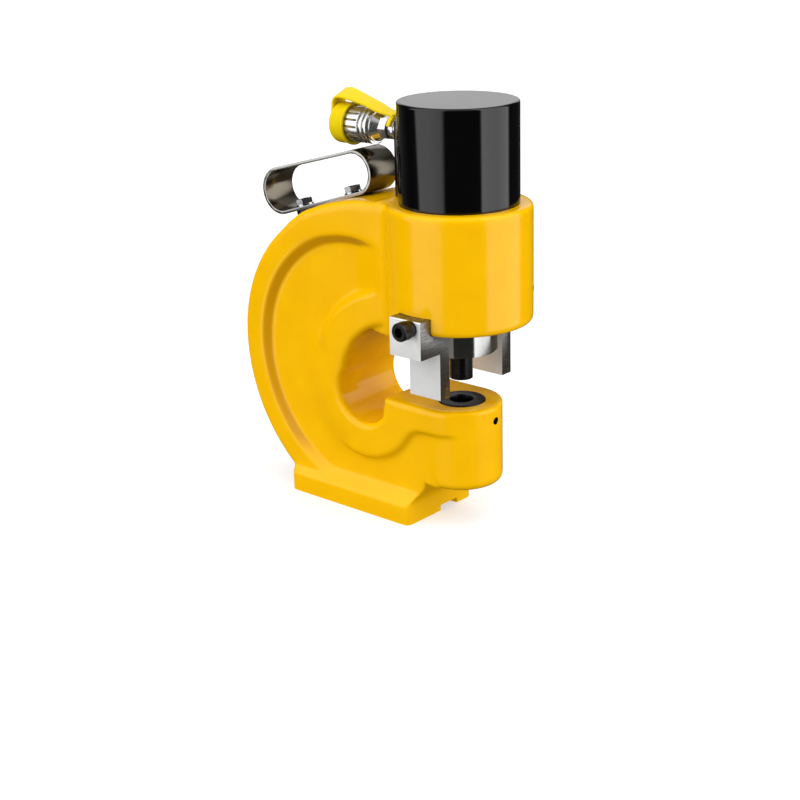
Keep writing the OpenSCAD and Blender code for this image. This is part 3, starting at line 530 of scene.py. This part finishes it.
def shapeJaw(work, s):
    band, front, corner, cove = (s[part] for part in ("band", "front", "corner", "cove"))
    for v in work.verts:
        x, y, z = (c / mm for c in v.co)
        if z > cove["rise"][0] and cove["front"][0] < y < cove["rear"][1]:
            share = between(*cove["rise"], z) * (1 - between(*cove["stop"], z))
            forward = cove["reach"] * share * between(*cove["front"], y)
            v.co.y -= forward * (1 - between(*cove["rear"], y)) * mm
        gap = math.hypot(y - corner["y"], z - corner["z"])
        v.co.y += corner["shift"] * (1 - between(*corner["fade"], gap)) * mm
        if y > front["back"] or not front["low"] <= z <= front["high"]:
            continue
        reach = math.hypot(x, y)
        if band["low"] < z and reach > band["radius"]:
            keep = between(*band["turn"], math.degrees(math.atan2(abs(x), -y)))
            v.co.xy *= (band["radius"] + (reach - band["radius"]) * keep) / reach
        v.co.z -= front["drop"] * mm * (1 - between(*front["under"], z))


# small corrections of the crown's height as (y, lift), with the heights between which they set in
crown = {
    "lifts": ((38, -1.5), (50, -1.2), (58, 0.8), (66, -0.8), (88, 0), (110, 0.2), (134, 1.4), (148, 2.6),
              (162, 1.6), (178, 0)),
    "rise": (225, 255),
}


def shapeCrown(work, s):
    for v in work.verts:
        y, z = v.co.y / mm, v.co.z / mm
        if z < s["rise"][0]:
            continue
        for (y0, h0), (y1, h1) in zip(s["lifts"], s["lifts"][1:]):
            if y0 <= y < y1:
                v.co.z += (h0 + (h1 - h0) * between(y0, y1, y)) * between(*s["rise"], z) * mm


# the recess lies along the C: arcs of its outside as (y, z, radius) with the heights that they serve; a band
# inside them gets painted shade
recess = {
    "arcs": ((91, 139, 135.5, 139, 400), (59.8, 97.4, 187.5, 139, 400), (74.9, 139, 151.6, 0, 139)),
    "band": (13, 38), "x": (33.9, 39.7), "slope": (0.90, 0.985), "behind": (60, 86), "above": (30, 56),
}


# marks where the painted shade goes: a band on the recess's sloping step, faded in behind and above
def paintRecessShade(piece, s):
    marks = piece.data.attributes.new("paintedShade", "FLOAT", "POINT")
    turned = [abs(n.vector.x) for n in piece.data.vertex_normals]
    for v in piece.data.vertices:
        x, y, z = ((a - b) / mm for a, b in zip(v.co, punchAt))
        if y < s["behind"][0] or z < s["above"][0] or not s["x"][0] < abs(x) < s["x"][1]:
            continue
        inside = min(r - math.hypot(y - cy, z - cz) for cy, cz, r, low, high in s["arcs"] if low <= z < high)
        if s["band"][0] < inside < s["band"][1]:
            fade = between(*s["behind"], y) * between(*s["above"], z)
            marks.data[v.index].value = fade * (1 - between(*s["slope"], turned[v.index]))


def plugBores(work, s):
    # fills every machined place, so that only cast surfaces are softened
    inward, rise = s["headChamfer"]
    turnedShape(work, [(0, s["headLow"]), (s["headR"] - inward, s["headLow"]), (s["headR"], s["headLow"] + rise),
                       (s["headR"], s["headHigh"]), (0, s["headHigh"])])
    for radius, low, high in (s["barrelPlug"], s["diePlug"]):
        turnedShape(work, stepped([(radius, low)], high))


def growFoot(work, s):
    # fills the channel under the foot, and carries on below it with rounded upright corners
    (x0, y0), (x1, y1) = s["foot"]
    inset, half = s["footInset"], s["footHalf"]
    base = block(work, (x0 + inset, y0 + inset, -half), (x1 - inset, y1 - inset, half))
    upright = [e for e in work.edges if all(v in base for v in e.verts)
               and abs(e.verts[0].co.z - e.verts[1].co.z) > half * mm]
    roundEdges(work, upright, s["footCorner"], s["cornerSteps"])


def cutBores(piece, s, screwAxis):
    # the machined places, cut crisp
    cutter = bmesh.new()
    turnedShape(cutter, stepped(s["headBores"], s["boreTop"]), steps=s["boreSteps"])
    turnedShape(cutter, stepped(s["dieBores"], s["dieTop"]))
    for side in (-1, 1):
        near, far = sorted(side * x for x in s["notchX"])
        block(cutter, (near, -s["notchHalf"], s["notchZ"][0]), (far, s["notchHalf"], s["notchZ"][1]))
    block(cutter, *s["underside"])
    for along, deep in handleSeat["bolts"]:
        turnedShape(cutter, stepped([(s["seatR"], 0)], s["seatHigh"]), onHandle(along, -deep), handleUp,
                    s["seatSteps"])
    carve(piece, cutter)
    # these overlap the first ones, so they are a cut of their own
    cutter = bmesh.new()
    turnedShape(cutter, stepped([(s["screwR"], s["screwReach"][0])], s["screwReach"][1]), (0, 0, s["screwZ"]),
                screwAxis, s["screwSteps"])
    block(cutter, *s["channel"])
    carve(piece, cutter)


def castFrame(s):
    work = copyOf("frame")
    bmesh.ops.translate(work, vec=-punchAt, verts=work.verts)
    plugBores(work, s)
    fillCorner(work, cornerFill)
    filletHead(work, headFillet)
    growFoot(work, s)
    piece = setDown(work, "castFrame", "castPaint")
    remesh = piece.modifiers.new("skin", "REMESH")
    remesh.mode = "VOXEL"
    remesh.voxel_size = s["voxel"] * mm
    bake(piece)
    work = bmesh.new()
    work.from_mesh(piece.data)
    for _ in range(s["rounds"]):
        bmesh.ops.smooth_vert(work, verts=work.verts, factor=s["softness"], use_axis_x=True, use_axis_y=True,
                              use_axis_z=True)
    fadeBorder(work, bossBorder)
    shapeJaw(work, jaw)
    shapeCrown(work, crown)
    work.to_mesh(piece.data)
    work.free()
    screwTurn = math.radians(s["screwTurn"])
    screwAxis = Vector((math.sin(screwTurn), -math.cos(screwTurn), 0))
    cutBores(piece, s, screwAxis)
    piece = setDown(takeUp(piece), "castFrame", "castPaint", "body", ["frame"], 40, True)
    paintRecessShade(piece, recess)

    def inScrewHole(face):
        gap = (face.center - punchAt) / mm - upward * s["screwZ"]
        along = gap.dot(screwAxis)
        near = (gap - screwAxis * along).length < s["screwR"] + s["screwSpare"]
        return near and s["screwReach"][0] < along < s["screwReach"][1]

    paintFaces(piece, "blackSteel", inScrewHole)  # the tapped hole is bare metal; its near-black is painted shade in the hole


castFrame(casting)
print("casting dressed")


# CAD pieces whose sharp edges are rounded: piece, finish, body, slot, width of the rounding and its segments
softened = {
    "left_stripper": ("leftStripper", "brightSteel", "body", "bright_steel", 0.45, 2),
    "right_stripper": ("rightStripper", "brightSteel", "body", "bright_steel", 0.45, 2),
    "handle": ("strapHandle", "stainless", "body", "stainless", 1.6, 4),
    "stripper_washers": ("lockWashers", "blackSteel", "body", "black_screw", 0.4, 2),
    "die": ("dieRing", "dieSteel", "body", "dark_tool_steel", 0.3, 2),
    "inlet_block": ("inletBlock", "blackPaint", "body", "black_paint", 0.8, 2),
    "coupler_body": ("couplerBody", "couplerChrome", "body", "coupler_chrome", 0.3, 2),
    "coupler_sleeve": ("couplerSleeve", "couplerChrome", "sleeve", "coupler_chrome", 0.35, 2),
    "port_nipple": ("portNipple", "couplerChrome", "body", "coupler_chrome", 0.4, 2),
}
# shares by face direction: below the first, the strippers' faces get painted dark reflection; above the second,
# the strap's edges get a painted highlight
darkReflectionBelow, highlightAbove = 0.6, 0.9  # how squarely the strippers' milled faces and the strap's edges look along x
for nodeName, (pieceName, finish, body, slotName, width, segments) in softened.items():
    piece = setDown(soften(nodeName, width, segments), pieceName, finish, body, [nodeName])
    if finish == "brightSteel":
        paintFaces(piece, "milledSteelDarkReflection", lambda face: abs(face.normal.x) < darkReflectionBelow)
    # the strap's faces along x get the painted highlight
    if finish == "stainless":
        paintFaces(piece, "strapEdgeHighlight", lambda face: abs(face.normal.x) > highlightAbove)

# socket head screw; the crown's corners as (inward, down) from the head's rim
capScrew = {
    "headR": 8.0, "headH": 10.0, "shankR": 5.0, "shankL": 35.0, "tip": 0.6, "under": (0.3, 0.4),
    "crown": ((0, 1.2), (0.5, 0.4), (1.2, 0)), "knurls": 44, "knurlDeep": 0.3, "rim": 0.1,
    "socket": 4.6, "socketDeep": 5.0, "seat": (77.75, -6.0, 194.1),
}


def socketScrew(s):
    work = bmesh.new()
    points = [(0, -s["shankL"]), (s["shankR"] - s["tip"], -s["shankL"]), (s["shankR"], s["tip"] - s["shankL"]),
              (s["shankR"], 0), (s["headR"] - s["under"][0], 0), (s["headR"], s["under"][1])]
    points += [(s["headR"] - inward, s["headH"] - down) for inward, down in s["crown"]] + [(0, s["headH"])]
    step = math.pi / s["knurls"]
    for v in turnedShape(work, points, steps=2 * s["knurls"]):  # every second line of the head goes in
        turn = round(math.atan2(v.co.y, v.co.x) / step)
        if turn % 2 and math.hypot(v.co.x, v.co.y) / mm > s["headR"] - s["rim"] and v.co.z > 0:
            v.co.xy *= (s["headR"] - s["knurlDeep"]) / s["headR"]
    piece = setDown(work, "screw", "blackSteel")
    cutter = bmesh.new()
    bmesh.ops.create_cone(cutter, cap_ends=True, segments=6, radius1=s["socket"] * mm, radius2=s["socket"] * mm,
                          depth=2 * s["socketDeep"] * mm, matrix=Matrix.Translation((0, 0, s["headH"] * mm)))
    carve(piece, cutter)
    return takeUp(piece)


def bothScrews(s):
    work = bmesh.new()
    x, y, z = s["seat"]
    for side in (-1, 1):
        screw = socketScrew(s)
        turn = Matrix.Rotation(side * math.pi / 2, 4, "Y")
        place = Matrix.Translation(Vector((side * x, y, z)) * mm)
        bmesh.ops.transform(screw, matrix=place @ turn, verts=screw.verts)
        addShape(work, screw)
    setDown(work, "stripperScrews", "blackSteel", "body", ["stripper_screws"], 25, True)


bothScrews(capScrew)

# hexagon bolt: half of the width across flats; the cone's corners as (inward from the flats, down from the top)
handleBolt = {"flat": 6.5, "height": 5.3, "seat": 4.7, "shankR": 4.0, "shankSteps": 32, "reach": 14,
              "spare": 0.05, "under": 0.5, "shoulder": 0.9, "cone": ((0.4, 0.1), (0.5, 0)), "coneSteps": 48}


def hexBolt(s, along, deep):
    # hexagon head, turned down to a cone at the top, with a plain shank
    corner = s["flat"] / math.cos(math.pi / 6)
    head = bmesh.new()
    bmesh.ops.create_cone(head, cap_ends=True, segments=6, radius1=corner * mm, radius2=corner * mm,
                          depth=s["height"] * mm, matrix=Matrix.Translation((0, 0, s["height"] / 2 * mm)))
    head = setDown(head, "head", "zinc")
    widest = corner + s["spare"]
    points = [(0, 0), (s["flat"], 0), (widest, s["under"]), (widest, s["height"] - s["shoulder"])]
    points += [(s["flat"] - inward, s["height"] - down) for inward, down in s["cone"]] + [(0, s["height"])]
    cutter = bmesh.new()
    turnedShape(cutter, points, steps=s["coneSteps"])
    carve(head, cutter, "INTERSECT")
    bolt = takeUp(head)
    low = -s["seat"] - deep - s["reach"] + handleSeat["gap"]
    turnedShape(bolt, stepped([(s["shankR"], low)], 0), steps=s["shankSteps"])
    aim = upward.rotation_difference(handleUp).to_matrix().to_4x4()
    place = Matrix.Translation(onHandle(along, s["seat"]) * mm)
    bmesh.ops.transform(bolt, matrix=place @ aim, verts=bolt.verts)
    return bolt


work = bmesh.new()
for along, deep in handleSeat["bolts"]:
    addShape(work, hexBolt(handleBolt, along, deep))
setDown(work, "handleBolts", "zinc", "body", ["handle_bolts"], 35, True)

# springs: piece, joint, the axis along which they flatten, anchor in metres and what is left of the length
springs = {
    "return_spring": ("returnSpring", "ram_slide", (0, 0, 1), (0, -0.08215, 0.216), 0.70),
    "valve_spring": ("valveSpring", "valve_push", (0, 1, 0), (0, 0.01145, 0.3412), 0.76),
}
for nodeName, (pieceName, joint, axis, anchor, keep) in springs.items():
    piece = setDown(copyOf(nodeName), pieceName, "springSteel", "body", [nodeName], 70)
    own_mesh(piece)
print("screws and handle made")


# cap, from the punch: lengths along y; the bead's corners as (outward, along) from the mouth
dustCap = {
    "inner": 16.15, "outer": 18.0, "mouth": 114.3, "end": 131.7, "floor": 129.4, "fold": 1, "lead": (0.5, 0.6),
    "bead": ((0.3, 0), (0.8, 0.5), (0.8, 2), (0.3, 2.6), (0, 3.2)),
    "bend": 3, "bendAngles": (90, 70, 50, 30, 10, 0), "dish": ((6, 0), (8, 0.3)), "steps": 72,
}


def vinylCap(s):
    outer, inner, end, mouth = s["outer"], s["inner"], s["end"], s["mouth"]
    points = [(0, s["floor"]), (inner - s["fold"], s["floor"]), (inner, s["floor"] - s["fold"]),
              (inner, mouth + s["lead"][1]), (inner + s["lead"][0], mouth)]
    points += [(outer + out, mouth + along) for out, along in s["bead"]]
    points += [(outer - s["bend"] + s["bend"] * math.sin(a), end - s["bend"] + s["bend"] * math.cos(a))
               for a in (math.radians(d) for d in s["bendAngles"])]
    points += [(outer - inward, end - deep) for inward, deep in s["dish"]] + [(0, end - s["dish"][-1][1])]
    work = bmesh.new()
    turnedShape(work, points, (0, 0, couplerZ), (0, 1, 0), s["steps"])
    setDown(work, "dustCap", "capVinyl", "cap", ["dust_cap"], 60, True)


vinylCap(dustCap)

# tether, from the punch: its middle line from the cap's end to the nut, as (y, height over the coupler's axis,
# half of the width, roll); "blend" holds the lengths between which it goes over from the body to the cap
tether = {
    "thick": 2.4, "edge": 0.7, "edgeSegments": 3, "sharp": 50, "blend": (93, 129),
    "path": ((133.2, -8, 8.5, 0), (133.3, -2, 9.8, 0), (133.4, 7, 10.4, 0), (133.9, 13.5, 9.6, 4),
             (134.4, 18, 10.0, 10), (133.6, 22.4, 10.4, 16), (130.8, 25.5, 10.4, 18), (126, 26.1, 10.4, 15),
             (118, 24.7, 10.4, 9), (109, 22.6, 10.4, 4), (99, 20.1, 10.3, 0), (90, 17.3, 9.8, 0),
             (84, 15.1, 9.2, 0), (79, 13.7, 8.4, 0), (74, 12.7, 7.4, 0), (69.5, 11.9, 6.6, 0),
             (66.2, 11.4, 6.3, 0)),
    "clip": {"inner": 9.7, "outer": 12.2, "low": 65.8, "high": 69.6, "from": 17, "steps": 28},
}


def strip(work, s):
    path = [Vector((0, y, couplerZ + z)) * mm for y, z, _, _ in s["path"]]
    halfThick = s["thick"] / 2 * mm
    levels = []
    for i, (spot, (_, _, halfWidth, roll)) in enumerate(zip(path, s["path"])):
        ahead = (path[min(i + 1, len(path) - 1)] - path[max(i - 1, 0)]).normalized()
        across = Matrix.Rotation(math.radians(roll), 3, ahead) @ Vector((1, 0, 0))
        out = across.cross(ahead)
        levels.append([spot + across * (a * halfWidth * mm) + out * (b * halfThick)
                       for a, b in ((-1, -1), (1, -1), (1, 1), (-1, 1))])
    loftRings(work, levels)
    roundEdges(work, [e for e in work.edges if e.calc_face_angle(0) > math.radians(s["sharp"])], s["edge"],
               s["edgeSegments"])


def openClip(work, s):
    # the ring over the nut, open below
    first = math.radians(s["from"])
    ray = Vector((math.cos(first), 0, math.sin(first)))
    axle = Vector((0, 0, couplerZ))
    corners = ((s["inner"], s["low"]), (s["outer"], s["low"]), (s["outer"], s["high"]), (s["inner"], s["high"]))
    verts = [work.verts.new((axle + ray * r + Vector((0, y, 0))) * mm) for r, y in corners]
    start = work.faces.new(verts)
    bmesh.ops.spin(work, geom=[start, *start.edges, *verts], cent=axle * mm, axis=(0, -1, 0),
                   angle=math.radians(180 - 2 * s["from"]), steps=s["steps"])
    bmesh.ops.recalc_face_normals(work, faces=work.faces)


def capTether(s):
    work = bmesh.new()
    strip(work, s)
    openClip(work, s["clip"])
    piece = setDown(work, "capTether", "capVinyl", sharp=60, fromPunch=True)
    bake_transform(piece)
    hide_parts("cap_tether")


capTether(tether)
print("cap and tether made")


floorPaper = {"size": 20, "grain": 3, "rough": 0.6, "glow": 0.5,
              "tones": ((0.60, 0.60, 0.605), (0.62, 0.62, 0.625))}
# a dark mat that only low, shiny places mirror
darkMat = {"radius": 0.59, "place": (0.06, 0, -0.002), "segments": 96, "grain": 40, "rough": 0.9,
           "tones": ((0.085, 0.075, 0.055), (0.110, 0.095, 0.070))}


def layDown(work, name, s, **sockets):
    # a flat stage piece with its own material
    made = bpy.data.meshes.new(name)
    work.to_mesh(made)
    work.free()
    material, tree, shader, where = nodeTree(name + "Surface")
    colour(tree, shader, cloud(tree, where, s["grain"]), *s["tones"])
    setSockets(shader, Roughness=s["rough"], **sockets)
    made.materials.append(material)
    piece = bpy.data.objects.new(name, made)
    bpy.context.collection.objects.link(piece)
    return piece


work = bmesh.new()
bmesh.ops.create_grid(work, x_segments=1, y_segments=1, size=floorPaper["size"])
floor = layDown(work, "floor", floorPaper, Emission_Strength=floorPaper["glow"], Emission_Color=(1, 1, 1, 1))
floor.visible_glossy = False  # shiny parts mirror the studio, not the paper
floor.visible_diffuse = False  # the fill lights take the place of its bounce
work = bmesh.new()
bmesh.ops.create_circle(work, cap_ends=True, segments=darkMat["segments"], radius=darkMat["radius"],
                        matrix=Matrix.Translation(darkMat["place"]))
mat = layDown(work, "darkMat", darkMat, Specular_IOR_Level=0.0)
mat.visible_camera = mat.visible_diffuse = mat.visible_shadow = mat.visible_transmission = False

# the studio that shiny parts mirror: two soft boxes beside the camera, which fade low down, and a bright ceiling
studio = {
    # (degrees to the right of the camera's side, brightness), read round the object
    "round": ((-180, 0.10), (-135, 0.10), (-105, 0.02), (-83, 0.03), (-79, 1.5), (-55, 1.6), (-34, 1.3),
              (-27, 0.03), (39, 0.03), (42, 2.4), (70, 1.9), (101, 1.9), (106, 0.03), (140, 0.02), (180, 0.10)),
    "roundMost": 3.0,
    # (degrees above the table, brightness), and what is left of the boxes' brightness there
    "ceiling": ((-90, 0.0), (28, 0.0), (50, 0.55), (90, 0.7)),
    "boxes": ((-90, 0.10), (-50, 0.12), (-32, 0.35), (-24, 1.0), (90, 1.0)),
    "heightMost": 2.0,
    # the left box's outer edge leans: places are shares of a full turn round and of the half turn up
    "leanFrom": 0.389, "leanRise": 9.0, "leanFull": 1.2, "leanLevel": 0.428, "lean": 0.8, "leanMost": 0.04,
}


def lightWorld(s):
    world = bpy.data.worlds.new("studio")
    bpy.context.scene.world = world
    world.use_nodes = True
    tree = world.node_tree
    background = next(n for n in tree.nodes if n.type == "BACKGROUND")
    coords = tree.nodes.new("ShaderNodeTexCoord")
    mapping = tree.nodes.new("ShaderNodeMapping")
    mapping.inputs["Rotation"].default_value[2] = -math.radians(cameraSettings["azimuth"])
    tree.links.new(coords.outputs["Generated"], mapping.inputs["Vector"])
    axes = tree.nodes.new("ShaderNodeSeparateXYZ")
    tree.links.new(mapping.outputs["Vector"], axes.inputs["Vector"])

    def maths(operation, *inputs):
        node = tree.nodes.new("ShaderNodeMath")
        node.operation = operation
        for socket, value in zip(node.inputs, inputs):
            if isinstance(value, (int, float)):
                socket.default_value = value
            else:
                tree.links.new(value, socket)
        return node.outputs["Value"]

    def limited(value, low, high):
        return maths("MINIMUM", maths("MAXIMUM", value, low), high)

    def ramp(factor, stops, low, high, most):
        node = tree.nodes.new("ShaderNodeValToRGB")
        tree.links.new(factor, node.inputs["Fac"])
        points = node.color_ramp.elements
        while len(points) < len(stops):
            points.new(0.5)
        for point, (at, value) in zip(points, stops):
            point.position = (at - low) / (high - low)
            point.color = (value / most, value / most, value / most, 1)
        return maths("MULTIPLY", node.outputs["Color"], most)

    around = maths("ARCTAN2", axes.outputs["X"], maths("MULTIPLY", axes.outputs["Y"], -1.0))
    around = maths("ADD", maths("DIVIDE", around, 2 * math.pi), 0.5)
    height = maths("ADD", maths("DIVIDE", maths("ARCSINE", axes.outputs["Z"]), math.pi), 0.5)
    past = maths("MULTIPLY", maths("SUBTRACT", s["leanFrom"], around), s["leanRise"])
    lean = maths("MULTIPLY", maths("SUBTRACT", height, s["leanLevel"]), s["lean"])
    lean = maths("MULTIPLY", limited(past, 0.0, s["leanFull"]), limited(lean, 0.0, s["leanMost"]))
    boxes = ramp(maths("ADD", around, lean), s["round"], -180, 180, s["roundMost"])
    boxes = maths("MULTIPLY", boxes, ramp(height, s["boxes"], -90, 90, s["heightMost"]))
    light = maths("MAXIMUM", boxes, ramp(height, s["ceiling"], -90, 90, s["heightMost"]))
    # the camera itself sees plain paper behind the floor
    path = tree.nodes.new("ShaderNodeLightPath")
    paper = mixed(tree, path.outputs["Is Camera Ray"], light, (1, 1, 1))
    tree.links.new(paper, background.inputs["Color"])


def standLight(name, kind, turned, place=(0, 0, 0)):
    data = bpy.data.lights.new(name, kind)
    light = bpy.data.objects.new(name, data)
    bpy.context.collection.objects.link(light)
    aim = Vector(turned).to_track_quat("Z", "Y")
    light.matrix_world = Matrix.Translation(Vector(place)) @ aim.to_matrix().to_4x4()
    return light, data


# broad fills that leave the reflections alone: where the light comes from, its angle and its strength
fills = {
    "frontFill": ((-0.72, -0.63, 0.35), 100, 0.87),
    "rightFill": ((0.35, -0.90, 0.25), 60, 0.12),
    "sideFill": ((-0.93, 0.25, 0.25), 80, 0.58),
    "topFill": ((-0.1, -0.1, 1), 70, 0.55),
    "backFill": ((0.7, 0.6, 0.5), 80, 0.65),
}
# a card that only the barrel's top mirrors, in metres
topCard = {"place": (0.566, 0.41, 0.58), "target": (0, -0.082, 0.372), "size": (0.9, 0.3), "glow": 0.8}


def lightCard(s):
    light, data = standLight("topCard", "AREA", Vector(s["place"]) - Vector(s["target"]), s["place"])
    data.shape = "RECTANGLE"
    data.size, data.size_y = s["size"]
    data.energy = s["glow"] * math.pi * s["size"][0] * s["size"][1]
    light.visible_camera = False
    light.visible_diffuse = False  # it is there for reflections


lightWorld(studio)
for name, (source, angle, strength) in fills.items():
    light, data = standLight(name, "SUN", source)
    data.angle = math.radians(angle)
    data.energy = strength
    light.visible_glossy = False
lightCard(topCard)
bpy.context.scene.view_settings.view_transform = "Standard"
print("stage set")
